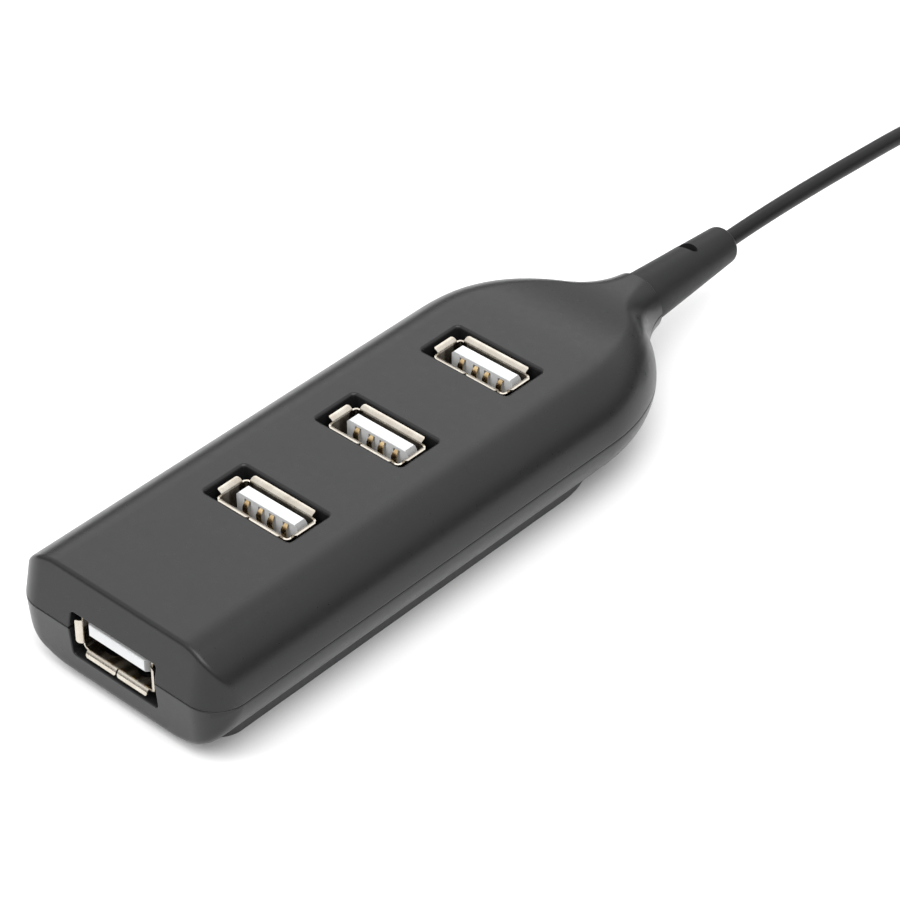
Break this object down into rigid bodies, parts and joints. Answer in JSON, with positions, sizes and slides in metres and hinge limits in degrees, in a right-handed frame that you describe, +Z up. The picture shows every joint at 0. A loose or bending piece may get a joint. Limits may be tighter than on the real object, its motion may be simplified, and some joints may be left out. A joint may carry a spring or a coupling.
{
  "type": "usb hub",
  "caption": "Desktop USB hub with a rounded paddle-shaped housing, upright sockets along the top, one in the front end, and a captive cord with a USB-A plug.",
  "frame": {"origin": "on the resting plane, below the middle of the hub from its front face to the tip of its strain relief", "axes": "+Z up, +Y towards the cord, +X to the right when seen from the front face"},
  "size_m": [0.0556, 0.2303, 0.0176],
  "materials": {
    "housing": "satin, fine texture",
    "socket_steel": "bright, slightly warm",
    "white_plastic": "satin",
    "contact_gold": "polished",
    "board": "satin",
    "chip": "matte",
    "tin": "satin",
    "can_metal": "bright",
    "capacitor_sleeve": "gloss",
    "ceramic": "matte",
    "resistor": "matte",
    "wire_red": "gloss",
    "wire_white": "gloss",
    "wire_green": "gloss",
    "wire_black": "gloss",
    "soft_black": "satin",
    "cord": "satin",
    "tie": "matte",
    "plug_steel": "bright"
  },
  "bodies": {
    "hub": {"top_shell": "housing", "bottom_shell": "housing", "circuit_board": "board", "socket_shell_1": "socket_steel", "socket_shell_2": "socket_steel", "socket_shell_3": "socket_steel", "socket_shell_front": "socket_steel", "socket_insulator_1": "white_plastic", "socket_insulator_2": "white_plastic", "socket_insulator_3": "white_plastic", "socket_insulator_front": "white_plastic", "socket_contacts_1": "contact_gold", "socket_contacts_2": "contact_gold", "socket_contacts_3": "contact_gold", "socket_contacts_front": "contact_gold", "hub_chip": "chip", "hub_chip_leads": "tin", "crystal": "can_metal", "bulk_capacitor": "capacitor_sleeve", "ceramic_capacitors": "ceramic", "chip_resistors": "resistor", "wire_power": "wire_red", "wire_data_minus": "wire_white", "wire_data_plus": "wire_green", "wire_ground": "wire_black", "strain_relief": "soft_black", "cable": "cord", "cable_coil": "cord", "coil_tie": "tie", "plug_overmould": "soft_black", "plug_shell": "plug_steel", "plug_insulator": "white_plastic", "plug_contacts": "contact_gold"}
  },
  "joints": []
}
